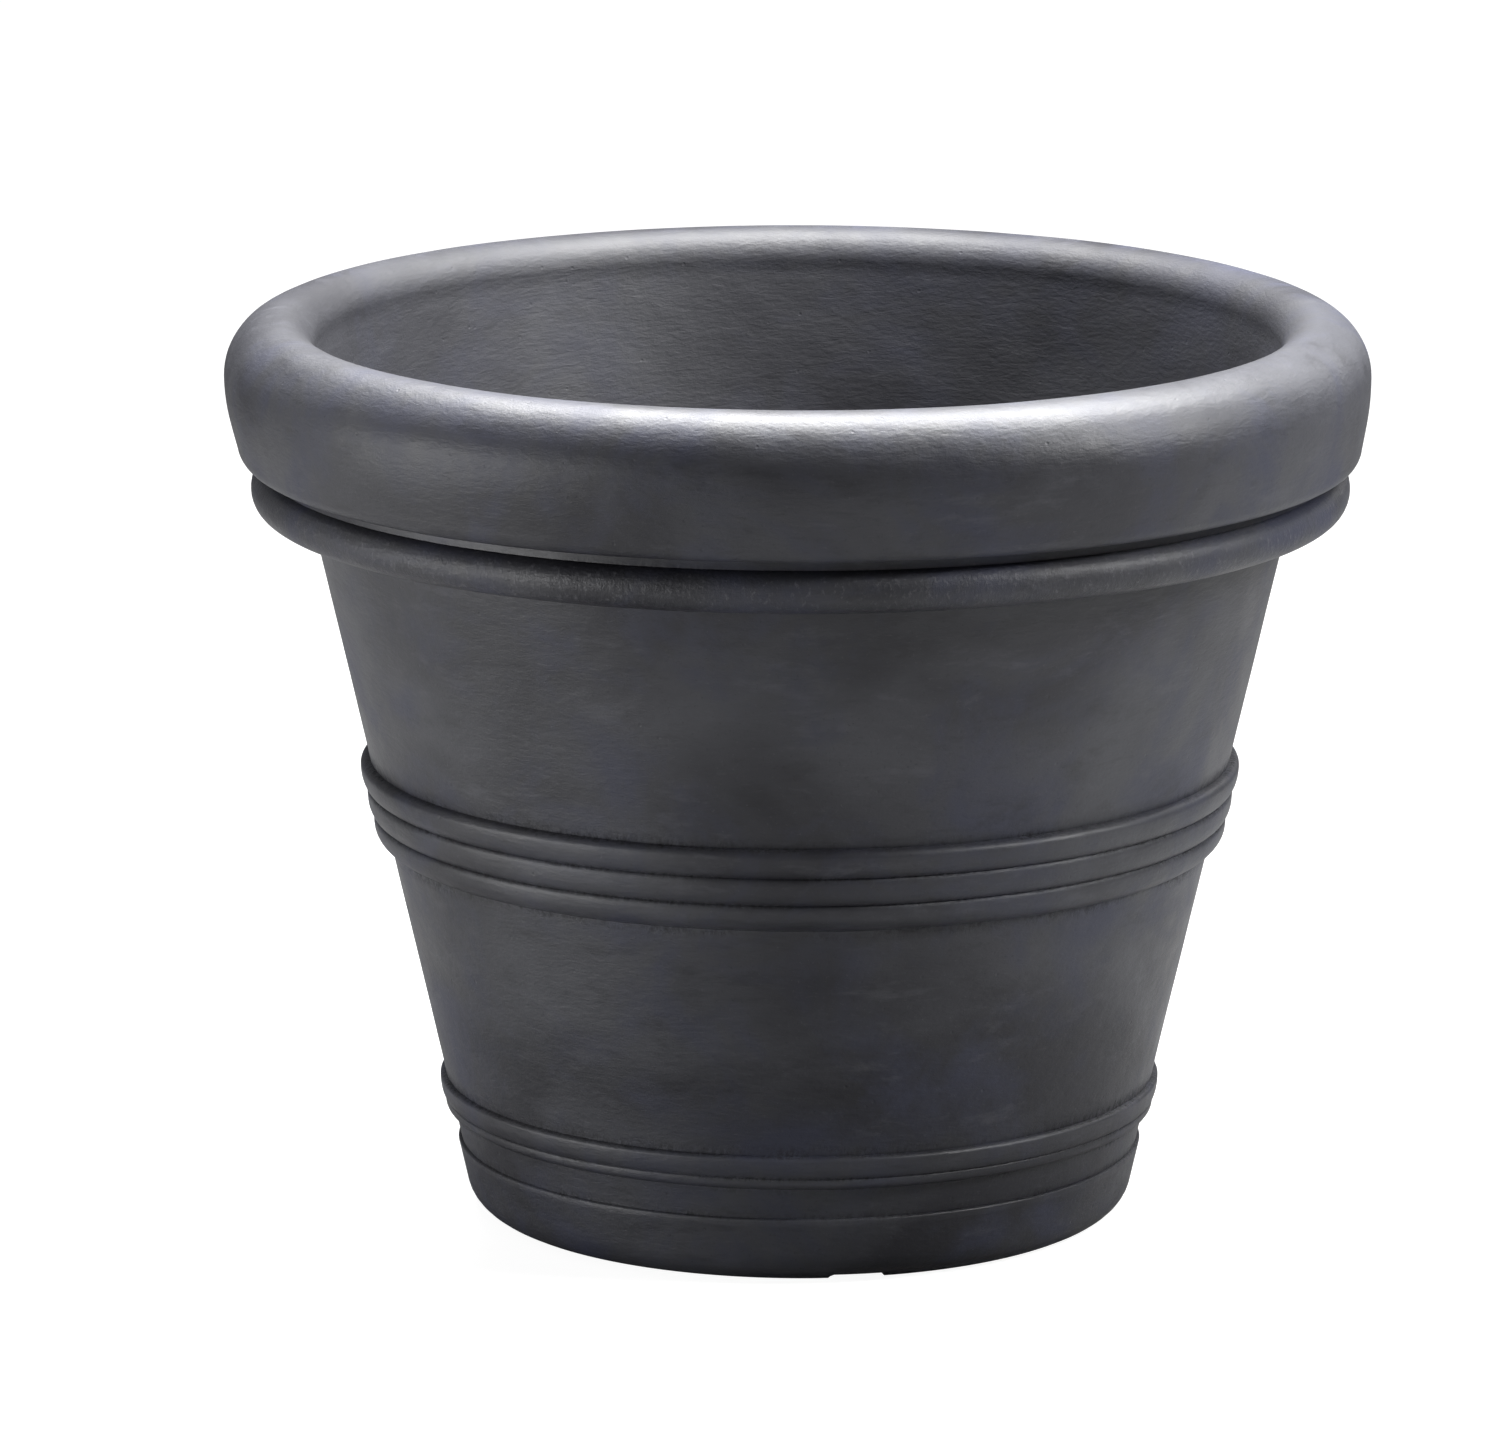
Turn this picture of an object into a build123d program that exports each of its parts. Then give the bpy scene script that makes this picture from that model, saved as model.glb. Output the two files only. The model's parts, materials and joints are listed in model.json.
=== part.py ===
"""Round floor planter with a thick rolled rim, rotationally moulded with a double wall.

Millimetres, +Z up. The origin is on the planter's axis, at the level it stands on.
The front, where one drain channel shows a little to the right, faces -Y.
"""
from build123d import *
from math import atan, cos, degrees, radians, sin, tan
import os

os.makedirs("parts", exist_ok=True)

# Overall sizes
height = 402.5
rim_radius = 254.0
body_foot_radius = 143.8
wall_depth = 18.7
skin = 4.0

# Rolled rim, from the crest of the roll down to its underside
roll_width = 24.0
opening_round = 16.0
rim_widest_drop = 25.5
rim_drop = 62.3
rim_tuck = 5.6
rim_edge_round = 6.0
rim_edge_inset = 4.8
rim_edge_bulge = 1.5
rim_side_bulge = 1.4

# Groove under the rim, and the collar bead below it
groove_depth = 18.0
groove_height = 5.0
collar_setback = 11.4
collar_overhang = 26.1
collar_height = 19.0
collar_top_round = 4.0
collar_bottom_round = 10.0

# Three ribs at mid height, from the top one down
mid_rib_top = 205.0
mid_rib_heights = (13.2, 12.5, 12.8)
mid_rib_proud = 5.2
mid_crease_proud = 3.3
mid_shoulder = 4.2

# Two slim ribs low on the body
low_rib_top = 61.0
low_rib_heights = (10.6, 5.6)
low_rib_proud = 3.2
low_crease_proud = 2.4
low_shoulder = 2.4

rib_shoulder_bulge = 0.6
rib_flank_bulge = 0.5
last_rib_flank_bulge = 1.5

# Base drum, a shallow step out from the body, with a rounded foot
drum_height = 31.2
drum_proud = 1.7
drum_edge = 1.0
foot_round = 15.0

# Underside: a foot ring round a raised middle, with channels across the ring
foot_ring_width = 31.8
underside_recess = 3.0
channel_width = 24.0
channel_count = 4
front_channel_angle = -79.5

# Inside of the planter
floor_level = 30.0
floor_round = 22.0
cavity_corner = 11.0

# Drain holes through both skins, and their rubber plugs
drain_inset = 28.0
drain_bore_radius = 9.5
drain_seat_radius = 16.3
drain_seat_depth = 3.0
plug_bore_clearance = 0.05
plug_seat_clearance = 0.3
plug_end_clearance = 1.0
plug_wall = 3.0
plug_hollow_depth = 14.0
plug_grip_radius = 5.0
plug_grip_height = 6.0
plug_grip_round = 2.0
plug_chamfer = 1.5

# Mould vent in the middle of the underside, closed by a pressed-in cap
vent_radius = 5.0
vent_cap_radius = 9.0
vent_cap_thickness = 1.4
vent_stem_length = 10.0
vent_stem_chamfer = 1.0

# Levels and radii that follow from the sizes above
rim_bottom = height - rim_drop
rim_widest = height - rim_widest_drop
crest_radius = rim_radius - roll_width
opening_radius = crest_radius - opening_round
opening_level = height - opening_round
groove_radius = rim_radius - groove_depth
collar_radius = rim_radius - collar_setback
collar_top = rim_bottom - groove_height
collar_bottom = collar_top - collar_height
slope = (collar_radius - collar_overhang - body_foot_radius) / collar_bottom
taper = degrees(atan(slope))
inner_foot_radius = body_foot_radius - wall_depth
inner_slope = (opening_radius - inner_foot_radius) / opening_level
inner_taper = degrees(atan(inner_slope))
outer_skin = skin / cos(radians(taper))
inner_skin = skin / cos(radians(inner_taper))
underside_radius = body_foot_radius - foot_ring_width
drain_circle_radius = underside_radius - drain_inset
drain_boss_radius = drain_seat_radius + skin


def body_radius(level):
    """Radius of the plain tapered body at a level."""
    return body_foot_radius + slope * level


def inner_radius(level):
    """Radius of the inner wall's face at a level."""
    return inner_foot_radius + inner_slope * level


def corner_points(radius, level, round_radius, lean):
    """Ends of the arc that rounds a corner between a level face and a side with that lean."""
    reach = round_radius * tan(radians(45 - lean / 2))
    on_level = (radius - reach, level)
    on_side = (radius + reach * sin(radians(lean)), level + reach * cos(radians(lean)))
    return on_level, on_side


def ribs(top, heights, proud, crease_proud, shoulder):
    """Run of ribs down the body from one level: a shoulder arc and a flank arc for each."""
    start = (body_radius(top), top)
    level = top
    for index, rib_height in enumerate(heights):
        last = index == len(heights) - 1
        crest_level = level - shoulder
        level -= rib_height
        crest = (body_radius(crest_level) + proud, crest_level)
        end = (body_radius(level) + (0 if last else crease_proud), level)
        SagittaArc(start, crest, -rib_shoulder_bulge)
        SagittaArc(crest, end, -(last_rib_flank_bulge if last else rib_flank_bulge))
        start = end
    return start


def rim_outline(inset):
    """Rolled rim from the top of the inner wall over the crest to its lower edge."""
    widest = (rim_radius - inset, rim_widest)
    tucked = (rim_radius - rim_tuck - inset, rim_bottom + rim_edge_round)
    inner_start = (opening_radius + inset, opening_level)
    RadiusArc(inner_start, (crest_radius, height - inset), opening_round - inset)
    EllipticalCenterArc((crest_radius, rim_widest), roll_width - inset, rim_widest_drop - inset)
    SagittaArc(widest, tucked, -rim_side_bulge)
    return tucked


def shell_outline():
    """Half section of the shell as one filled outline, its wall still solid."""
    tucked = rim_outline(0)
    rim_under = (tucked[0] - rim_edge_inset, rim_bottom)
    SagittaArc(tucked, rim_under, -rim_edge_bulge)
    collar_shoulder = (collar_radius - collar_top_round, collar_top)
    collar_side = (collar_radius, collar_top - collar_top_round)
    collar_edge = (collar_radius, collar_bottom + collar_bottom_round)
    collar_foot = (collar_radius - collar_bottom_round, collar_bottom)
    Polyline(rim_under, (groove_radius, rim_bottom), (groove_radius, collar_top), collar_shoulder)
    RadiusArc(collar_shoulder, collar_side, collar_top_round)
    Line(collar_side, collar_edge)
    RadiusArc(collar_edge, collar_foot, collar_bottom_round)
    mid_start = (body_radius(mid_rib_top), mid_rib_top)
    Polyline(collar_foot, (body_radius(collar_bottom), collar_bottom), mid_start)
    mid_end = ribs(mid_rib_top, mid_rib_heights, mid_rib_proud, mid_crease_proud, mid_shoulder)
    Line(mid_end, (body_radius(low_rib_top), low_rib_top))
    low_end = ribs(low_rib_top, low_rib_heights, low_rib_proud, low_crease_proud, low_shoulder)
    drum_top = (body_radius(drum_height), drum_height)
    drum_side = (body_radius(drum_height - drum_edge) + drum_proud, drum_height - drum_edge)
    foot_in, foot_up = corner_points(body_radius(0) + drum_proud, 0, foot_round, taper)
    floor_in, floor_up = corner_points(inner_radius(floor_level), floor_level, floor_round, inner_taper)
    Polyline(low_end, drum_top, drum_side, foot_up)
    RadiusArc(foot_up, foot_in, foot_round)
    Polyline(
        foot_in,
        (underside_radius, 0),
        (underside_radius, underside_recess),
        (0, underside_recess),
        (0, floor_level),
        floor_in,
    )
    RadiusArc(floor_in, floor_up, -floor_round)
    Line(floor_up, (opening_radius, opening_level))


def cavity_outline():
    """Half section of the sealed space between the outer and the inner skin."""
    low = underside_recess + skin
    collar_floor = collar_bottom + skin
    neck = groove_radius - skin
    collar_inside = collar_radius - skin
    tucked = rim_outline(skin)
    Polyline(
        tucked,
        (neck, rim_bottom + skin),
        (neck, collar_top - skin),
        (collar_inside, collar_top - skin - collar_top_round),
        (collar_inside, collar_bottom + collar_bottom_round),
        (collar_radius - collar_bottom_round, collar_floor),
        (body_radius(collar_floor) - outer_skin, collar_floor),
        (body_radius(foot_round) - outer_skin, foot_round),
        (body_radius(low) - outer_skin, low),
        (0, low),
        (0, floor_level - skin),
        (inner_radius(floor_level) + inner_skin - cavity_corner, floor_level - skin),
        (inner_radius(floor_level + cavity_corner) + inner_skin, floor_level + cavity_corner),
        (opening_radius + skin, opening_level),
    )


def make_pot_shell():
    """Double-walled shell: outer skin, rolled rim, inner wall and floor in one moulding."""
    with BuildPart() as shell:
        with BuildSketch(Plane.XZ):
            with BuildLine():
                shell_outline()
            make_face()
        revolve(axis=Axis.Z)
        with BuildSketch(Plane.XZ):
            with BuildLine():
                cavity_outline()
            make_face()
        revolve(axis=Axis.Z, mode=Mode.SUBTRACT)
        with BuildSketch(Plane.XY.offset(underside_recess)):
            with PolarLocations(drain_circle_radius, channel_count, front_channel_angle):
                Circle(drain_boss_radius)
        extrude(amount=floor_level - underside_recess)
        with BuildSketch(Plane.XY.offset(underside_recess)):
            with PolarLocations(drain_circle_radius, channel_count, front_channel_angle):
                Circle(drain_bore_radius)
            Circle(vent_radius)
        extrude(amount=skin, mode=Mode.SUBTRACT)
        with BuildSketch(Plane.XY.offset(underside_recess)):
            with PolarLocations(drain_circle_radius, channel_count, front_channel_angle):
                Circle(drain_bore_radius)
        extrude(amount=floor_level - underside_recess, mode=Mode.SUBTRACT)
        with BuildSketch(Plane.XY.offset(floor_level)):
            with PolarLocations(drain_circle_radius, channel_count, front_channel_angle):
                Circle(drain_seat_radius)
        extrude(amount=-drain_seat_depth, mode=Mode.SUBTRACT)
        channel_length = body_radius(0) + drum_proud - underside_radius + channel_width
        channel_middle = underside_radius - channel_width / 2 + channel_length / 2
        with BuildSketch():
            with PolarLocations(channel_middle, channel_count, front_channel_angle):
                Rectangle(channel_length, channel_width)
        extrude(amount=underside_recess, mode=Mode.SUBTRACT)
    shell.part.label = "pot_shell"
    return shell.part


def make_drain_plug(index):
    """Rubber plug of one drain hole: flange in its seat, hollow stem in the bore, grip on top."""
    angle = radians(front_channel_angle + 360 / channel_count * index)
    centre = (drain_circle_radius * cos(angle), drain_circle_radius * sin(angle))
    seat_level = floor_level - drain_seat_depth
    stem_foot = underside_recess + plug_end_clearance
    stem_radius = drain_bore_radius - plug_bore_clearance
    with BuildPart() as plug:
        with BuildSketch(Plane.XY.offset(stem_foot)):
            with Locations(centre):
                Circle(stem_radius)
        extrude(amount=seat_level - stem_foot)
        chamfer(plug.faces().sort_by(Axis.Z)[0].edges(), plug_chamfer)
        with BuildSketch(Plane.XY.offset(seat_level)):
            with Locations(centre):
                Circle(drain_seat_radius - plug_seat_clearance)
        extrude(amount=drain_seat_depth)
        with BuildSketch(Plane.XY.offset(floor_level)):
            with Locations(centre):
                Circle(plug_grip_radius)
        extrude(amount=plug_grip_height)
        fillet(plug.faces().sort_by(Axis.Z)[-1].edges(), plug_grip_round)
        with BuildSketch(Plane.XY.offset(stem_foot)):
            with Locations(centre):
                Circle(stem_radius - plug_wall)
        extrude(amount=plug_hollow_depth, mode=Mode.SUBTRACT)
    plug.part.label = f"drain_plug_{index + 1}"
    return plug.part


def make_vent_cap():
    """Cap pressed into the mould vent from below, clear of the surface the planter stands on."""
    with BuildPart() as cap:
        with BuildSketch(Plane.XY.offset(underside_recess - vent_cap_thickness)):
            Circle(vent_cap_radius)
        extrude(amount=vent_cap_thickness)
        with BuildSketch(Plane.XY.offset(underside_recess)):
            Circle(vent_radius)
        extrude(amount=vent_stem_length)
        chamfer(cap.faces().sort_by(Axis.Z)[-1].edges(), vent_stem_chamfer)
    cap.part.label = "vent_cap"
    return cap.part


pieces = [make_pot_shell(), make_vent_cap()]
pieces += [make_drain_plug(index) for index in range(channel_count)]
for piece in pieces:
    export_step(piece, f"parts/{piece.label}.step")
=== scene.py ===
"""Rolled rim floor planter: its looks, camera and light, in metres in the model's frame."""
import json
import math
import bpy
import bmesh
from mathutils import Matrix, Vector

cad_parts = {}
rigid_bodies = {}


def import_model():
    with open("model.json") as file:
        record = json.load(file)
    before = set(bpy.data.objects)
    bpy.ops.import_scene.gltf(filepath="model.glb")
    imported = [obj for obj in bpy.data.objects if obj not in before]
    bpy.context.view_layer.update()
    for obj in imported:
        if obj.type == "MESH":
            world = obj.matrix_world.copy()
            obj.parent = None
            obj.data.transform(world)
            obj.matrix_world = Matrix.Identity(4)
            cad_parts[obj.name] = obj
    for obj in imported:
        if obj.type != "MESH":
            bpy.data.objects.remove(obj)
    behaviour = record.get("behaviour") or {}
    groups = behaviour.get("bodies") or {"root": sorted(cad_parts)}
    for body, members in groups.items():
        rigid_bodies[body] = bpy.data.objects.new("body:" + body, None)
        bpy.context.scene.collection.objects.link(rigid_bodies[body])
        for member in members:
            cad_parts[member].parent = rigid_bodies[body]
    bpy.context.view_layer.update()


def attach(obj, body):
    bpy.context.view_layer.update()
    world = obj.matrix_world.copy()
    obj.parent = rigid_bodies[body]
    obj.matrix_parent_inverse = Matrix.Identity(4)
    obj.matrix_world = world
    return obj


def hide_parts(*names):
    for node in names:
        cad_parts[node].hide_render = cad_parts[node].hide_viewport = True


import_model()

# Camera, fitted to the photograph's outlines: pixels, millimetres, metres and degrees
IMAGE_WIDTH = 1500
FOCAL_PIXELS = 10236
SENSOR_WIDTH = 36.0
CAMERA_DISTANCE = 4.4376
CAMERA_HEIGHT = 1.1982
CAMERA_PITCH = 12.429
CAMERA_YAW = -0.286
CAMERA_ROLL = 0.051
CAMERA_REACH = 50

# Planter, the same sizes as the solids apart from the collar's rounder top edge
HEIGHT = 0.4025
RIM_RADIUS = 0.254
CREST_RADIUS = 0.230
OPENING_ROUND = 0.016
RIM_WIDEST_DROP = 0.0255
RIM_DROP = 0.0623
RIM_TUCK = 0.0056
RIM_EDGE_ROUND = 0.006
GROOVE_RADIUS = 0.236
GROOVE_HEIGHT = 0.005
COLLAR_RADIUS = 0.2426
COLLAR_HEIGHT = 0.019
COLLAR_OVERHANG = 0.0261
COLLAR_TOP_ROUND = 0.0075
COLLAR_BOTTOM_ROUND = 0.010
BODY_FOOT_RADIUS = 0.1438
MID_RIB_TOP = 0.205
MID_RIB_HEIGHTS = (0.0132, 0.0125, 0.0128)
MID_RIB_PROUD = 0.0052
MID_CREASE_PROUD = 0.0033
MID_SHOULDER = 0.0042
LOW_RIB_TOP = 0.061
LOW_RIB_HEIGHTS = (0.0106, 0.0056)
LOW_RIB_PROUD = 0.0032
LOW_CREASE_PROUD = 0.0024
LOW_SHOULDER = 0.0024
DRUM_HEIGHT = 0.0312
DRUM_PROUD = 0.0017
DRUM_EDGE = 0.001
FOOT_ROUND = 0.015
UNDERSIDE_RADIUS = 0.112
UNDERSIDE_RECESS = 0.003
CHANNEL_WIDTH = 0.024
CHANNEL_EDGE = 0.0008
CHANNEL_COUNT = 4
FRONT_CHANNEL_ANGLE = math.radians(-79.5)
WALL_DEPTH = 0.0187
FLOOR_LEVEL = 0.030
FLOOR_ROUND = 0.022
DRAIN_CIRCLE_RADIUS = 0.084
DRAIN_BORE_RADIUS = 0.0095
DRAIN_SEAT_RADIUS = 0.0163
DRAIN_SEAT_DEPTH = 0.003
VENT_RADIUS = 0.005

# Levels, radii and slopes that follow from those sizes
RIM_BOTTOM = HEIGHT - RIM_DROP
RIM_WIDEST = HEIGHT - RIM_WIDEST_DROP
COLLAR_TOP = RIM_BOTTOM - GROOVE_HEIGHT
COLLAR_BOTTOM = COLLAR_TOP - COLLAR_HEIGHT
SLOPE = (COLLAR_RADIUS - COLLAR_OVERHANG - BODY_FOOT_RADIUS) / COLLAR_BOTTOM
OPENING_RADIUS = CREST_RADIUS - OPENING_ROUND
OPENING_LEVEL = HEIGHT - OPENING_ROUND
INNER_FOOT_RADIUS = BODY_FOOT_RADIUS - WALL_DEPTH
INNER_SLOPE = (OPENING_RADIUS - INNER_FOOT_RADIUS) / OPENING_LEVEL

# Handle length of a cubic that draws a quarter circle, as a share of its radius
CIRCLE_HANDLE = 0.5523

# Reach of a round along each side, as a share of its radius, where the sides aren't square
ROUND_REACH = 0.8

# Curve of the rim's side, from its widest level to its tucked lower edge
RIM_SIDE_HANDLE_DROP = 0.012
RIM_TUCK_HANDLE_OUT = 0.0025
RIM_TUCK_HANDLE_UP = 0.010
RIM_EDGE_LEAN = 0.0008

# Curve of a rib, as shares of how proud it stands, its shoulder and its flank's height
SHOULDER_FULLNESS = 0.94
SHOULDER_DROP = 0.05
CREST_EASE = 0.04
FLANK_REACH = 0.55
CREASE_EASE = 0.38
LAST_CREASE_EASE = 0.60
CREASE_LIFT = 0.20

# Unevenness of the moulding: how far the rim's right side is drawn in, and slow waviness
DRAWN_IN = 0.0027
DRAWN_IN_BELOW_RIM = 0.01
WAVINESS = 0.0006
WAVE_SCALE = 16.0
WAVE_DETAIL = 3.0
WAVE_ROUGHNESS = 0.45
WAVE_TOP = 0.75
STILL_FOOT_SHARE = 0.2

# Fineness of the shell's mesh: steps round, and step lengths along the section
STEPS_ROUND = 340
LONG_STEP = 0.006
SHORT_STEP = 0.0011
FLOOR_STEP = LONG_STEP * 2
WALL_STEP = LONG_STEP * 1.4
NECK_STEP = LONG_STEP * 0.7
NECK_LENGTH = 0.02
GROOVE_STEP = SHORT_STEP * 2
COLLAR_SIDE_STEP = SHORT_STEP * 1.5
OVERHANG_STEP = SHORT_STEP * 4
FOOT_STEP = SHORT_STEP * 3

# Steps in each round of the section
FLOOR_ROUND_STEPS = 8
OPENING_STEPS = 12
CREST_STEPS = 18
RIM_SIDE_STEPS = 10
RIM_EDGE_STEPS = 6
COLLAR_TOP_STEPS = 5
COLLAR_BOTTOM_STEPS = 10
SHOULDER_STEPS = 6
FLANK_STEPS = 9
DRUM_EDGE_STEPS = 3
FOOT_ROUND_STEPS = 8

# Welding, cutting and shading of the turned mesh
MERGE_DISTANCE = 0.00002
WELD_DISTANCE = 0.00001
CUTTER_SEGMENTS = 48
CUT_MARGIN = 0.01
VENT_CUT_DEPTH = 0.012
SHARP_ANGLE = math.radians(50)

# Reach of the marks on the section: creases darkened with painted shade, the rough collar, and
# the inner face darkened with painted shade and made rougher
CREASE_REACH = 0.0011
OUTER_FACE_SHARE = 0.6
GRIT_MARGIN = 0.005
GRIT_SPREAD = 1.7
GRIT_FALL = 4
INSIDE_DROP = 0.003
INSIDE_MARGIN = 0.002
INSIDE_FADE = 2.5

# Colours of the charcoal shell
SHELL_DEEP = (0.015, 0.015, 0.020)
SHELL_PALE = (0.046, 0.047, 0.055)
SHELL_BLUE = (0.031, 0.034, 0.060)
# Dark tone of the random streaks and speckle, also used as painted shade on the inner face
SHELL_DARK = (0.010, 0.010, 0.013)
SHELL_WORN = (0.074, 0.075, 0.087)
SHELL_SCUFF = (0.11, 0.11, 0.12)
# Painted shade laid into the creases
SHELL_CREASE_SHADE = (0.004, 0.004, 0.005)

# Coats over the shell's clouds: effect, its range, the coat's share at each end, colour
CLOUD_RANGE = (0.38, 0.62)
SHELL_COATS = (
    ("Patches", 0.48, 0.66, 0.0, 0.7, SHELL_BLUE),
    ("Streaks", 0.56, 0.74, 0.0, 0.6, SHELL_WORN),
    ("Streaks", 0.30, 0.46, 0.55, 0.0, SHELL_DARK),
    ("Speckle", 0.40, 0.28, 0.0, 0.5, SHELL_DARK),
    ("Speckle", 0.62, 0.76, 0.0, 0.5, SHELL_WORN),
    ("Scuffs", 0.0, 1.0, 0.0, 0.35, SHELL_SCUFF),
)

# Rough collar, creases and inside: ranges of the effects and shares of the coats, the crease and
# inside coats being painted shade
GRIT_COAT = (0.55, 0.70, 0.0, 0.7)
CREASE_GRIT_RANGE = (0.42, 0.60)
CREASE_STREAK_RANGE = (0.40, 0.60)
CREASE_SHADE_SHARE = 0.8
INSIDE_SHADE_SHARE = 0.55

# Roughness and relief of the charcoal shell: the patches' range with the roughness at each
# end, what streaks, creases and the inside add, and the bump as strength and depth
SHELL_ROUGHNESS = (0.32, 0.68, 0.38, 0.50)
STREAK_ROUGHNESS = 0.10
CREASE_ROUGHNESS = 0.35
INSIDE_ROUGHNESS = 0.08
GRIT_RELIEF = 0.9
CREASE_RELIEF = -0.35
SHELL_BUMP = (0.65, 0.0008)
SHELL_SPECULAR = 0.5

# Share of each effect in the moulded surface's relief
WRINKLE_RELIEF = 0.55
GRAIN_RELIEF = 0.16
SOFT_RELIEF = 1.1
PIT_RELIEF = 0.22

# Black rubber of the plugs and plain plastic of the vent cap, with their bump as above
RUBBER_COLOUR = (0.018, 0.018, 0.019)
RUBBER_ROUGHNESS = 0.62
CAP_COLOUR = (0.028, 0.028, 0.031)
CAP_ROUGHNESS = 0.5
DUST = 0.03
DUST_RANGE = (0.45, 0.75)
DUST_SCALE = 60.0
SMALL_GRAIN_SCALE = 1500.0
ROUGHNESS_RANGE = (0.3, 0.7)
ROUGHNESS_SWING = 0.06
SMALL_BUMP = (0.3, 0.0003)
SMALL_SPECULAR = 0.3

# Lamps: name, place, target, width and height, watts
LAMPS = (
    ("top_box", (0.15, 0.28, 1.5), (0.05, -0.05, 0.4), (1.6, 0.6), 108),
    ("back_box", (1.3, 1.3, 1.2), (0, 0, 0.4), (0.8, 0.8), 5),
    ("right_box", (1.30, -0.50, 1.05), (0, 0, 0.3), (0.3, 0.3), 18),
    ("left_low_box", (-2.0, -0.8, 0.15), (0, 0, 0.15), (1.5, 0.4), 30),
    ("left_top_box", (-1.5, 0.3, 1.4), (0, 0, 0.35), (0.9, 0.9), 3),
)

# Light from all round
AMBIENT = 0.12

# Floor, and its glow for the camera, weaker near the planter
FLOOR_HALF = 4.0
FLOOR_DROP = 0.0002
FLOOR_COLOUR = (0.24, 0.24, 0.24)
FLOOR_ROUGHNESS = 0.9
FLOOR_GLOW = 0.93
GLOW_RANGE = (0.3, 1.1)


def body_radius(level):
    """Radius of the plain tapered body at a level."""
    return BODY_FOOT_RADIUS + SLOPE * level


def inner_radius(level):
    """Radius of the inner wall's face at a level."""
    return INNER_FOOT_RADIUS + INNER_SLOPE * level


def between(start, end, share):
    """Point of the section that lies a share of the way from start to end."""
    return tuple(start[axis] + (end[axis] - start[axis]) * share for axis in (0, 1))


def bezier(start, handle_a, handle_b, end, steps):
    """Points along a cubic from start to end, without the start."""
    controls = (start, handle_a, handle_b, end)
    points = []
    for index in range(1, steps + 1):
        t = index / steps
        weights = ((1 - t) ** 3, 3 * t * (1 - t) ** 2, 3 * t * t * (1 - t), t ** 3)
        points.append(tuple(
            sum(weight * control[axis] for weight, control in zip(weights, controls))
            for axis in (0, 1)
        ))
    return points


def line(start, end, step):
    """Points along a straight run, without the start."""
    count = max(1, round(math.dist(start, end) / step))
    return [
        tuple(start[axis] + (end[axis] - start[axis]) * index / count for axis in (0, 1))
        for index in range(1, count + 1)
    ]


def quarter(start, corner, end, steps):
    """Quarter-round from start to end that bulges towards the corner."""
    handle_a = between(start, corner, CIRCLE_HANDLE)
    handle_b = between(end, corner, CIRCLE_HANDLE)
    return bezier(start, handle_a, handle_b, end, steps)


def rib_run(top, heights, proud, crease_proud, shoulder):
    """Ribs down the body: a rounded shoulder, a flank and a soft crease for each."""
    points = []
    start = (body_radius(top), top)
    level = top
    for index, rib_height in enumerate(heights):
        last = index == len(heights) - 1
        crest_level = level - shoulder
        level -= rib_height
        crest = (body_radius(crest_level) + proud, crest_level)
        corner = (
            body_radius(start[1]) + proud * SHOULDER_FULLNESS,
            start[1] - shoulder * SHOULDER_DROP,
        )
        end = (body_radius(level) + (0 if last else crease_proud), level)
        flank = (crest[0] - proud * CREST_EASE, crest[1] + (end[1] - crest[1]) * FLANK_REACH)
        ease = LAST_CREASE_EASE if last else CREASE_EASE
        foot = (end[0] + proud * ease, end[1] + shoulder * CREASE_LIFT)
        points += quarter(start, corner, crest, SHOULDER_STEPS)
        points += bezier(crest, flank, foot, end, FLANK_STEPS)
        start = end
    return points


def inside_and_rim():
    """Section from the middle of the planter's floor up the inner wall and over the rim."""
    floor_corner = (inner_radius(FLOOR_LEVEL), FLOOR_LEVEL)
    floor_end = (floor_corner[0] - FLOOR_ROUND * ROUND_REACH, FLOOR_LEVEL)
    wall_foot = FLOOR_LEVEL + FLOOR_ROUND * ROUND_REACH
    wall_start = (inner_radius(wall_foot), wall_foot)
    neck_level = OPENING_LEVEL - NECK_LENGTH
    opening = (OPENING_RADIUS, OPENING_LEVEL)
    crest = (CREST_RADIUS, HEIGHT)
    widest = (RIM_RADIUS, RIM_WIDEST)
    tucked = (RIM_RADIUS - RIM_TUCK, RIM_BOTTOM + RIM_EDGE_ROUND)
    rim_under = (tucked[0] - RIM_EDGE_ROUND * ROUND_REACH, RIM_BOTTOM)
    side_handle = (RIM_RADIUS, RIM_WIDEST - RIM_SIDE_HANDLE_DROP)
    tuck_handle = (tucked[0] + RIM_TUCK_HANDLE_OUT, tucked[1] + RIM_TUCK_HANDLE_UP)
    edge_corner = (tucked[0] - RIM_EDGE_LEAN, RIM_BOTTOM)
    points = [(0.0, FLOOR_LEVEL)]
    points += line(points[-1], floor_end, FLOOR_STEP)
    points += quarter(floor_end, floor_corner, wall_start, FLOOR_ROUND_STEPS)
    points += line(wall_start, (inner_radius(neck_level), neck_level), WALL_STEP)
    points += line(points[-1], opening, NECK_STEP)
    points += quarter(opening, (OPENING_RADIUS, HEIGHT), crest, OPENING_STEPS)
    points += quarter(crest, (RIM_RADIUS, HEIGHT), widest, CREST_STEPS)
    points += bezier(widest, side_handle, tuck_handle, tucked, RIM_SIDE_STEPS)
    points += quarter(tucked, edge_corner, rim_under, RIM_EDGE_STEPS)
    points += line(rim_under, (GROOVE_RADIUS, RIM_BOTTOM), GROOVE_STEP)
    return points


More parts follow.
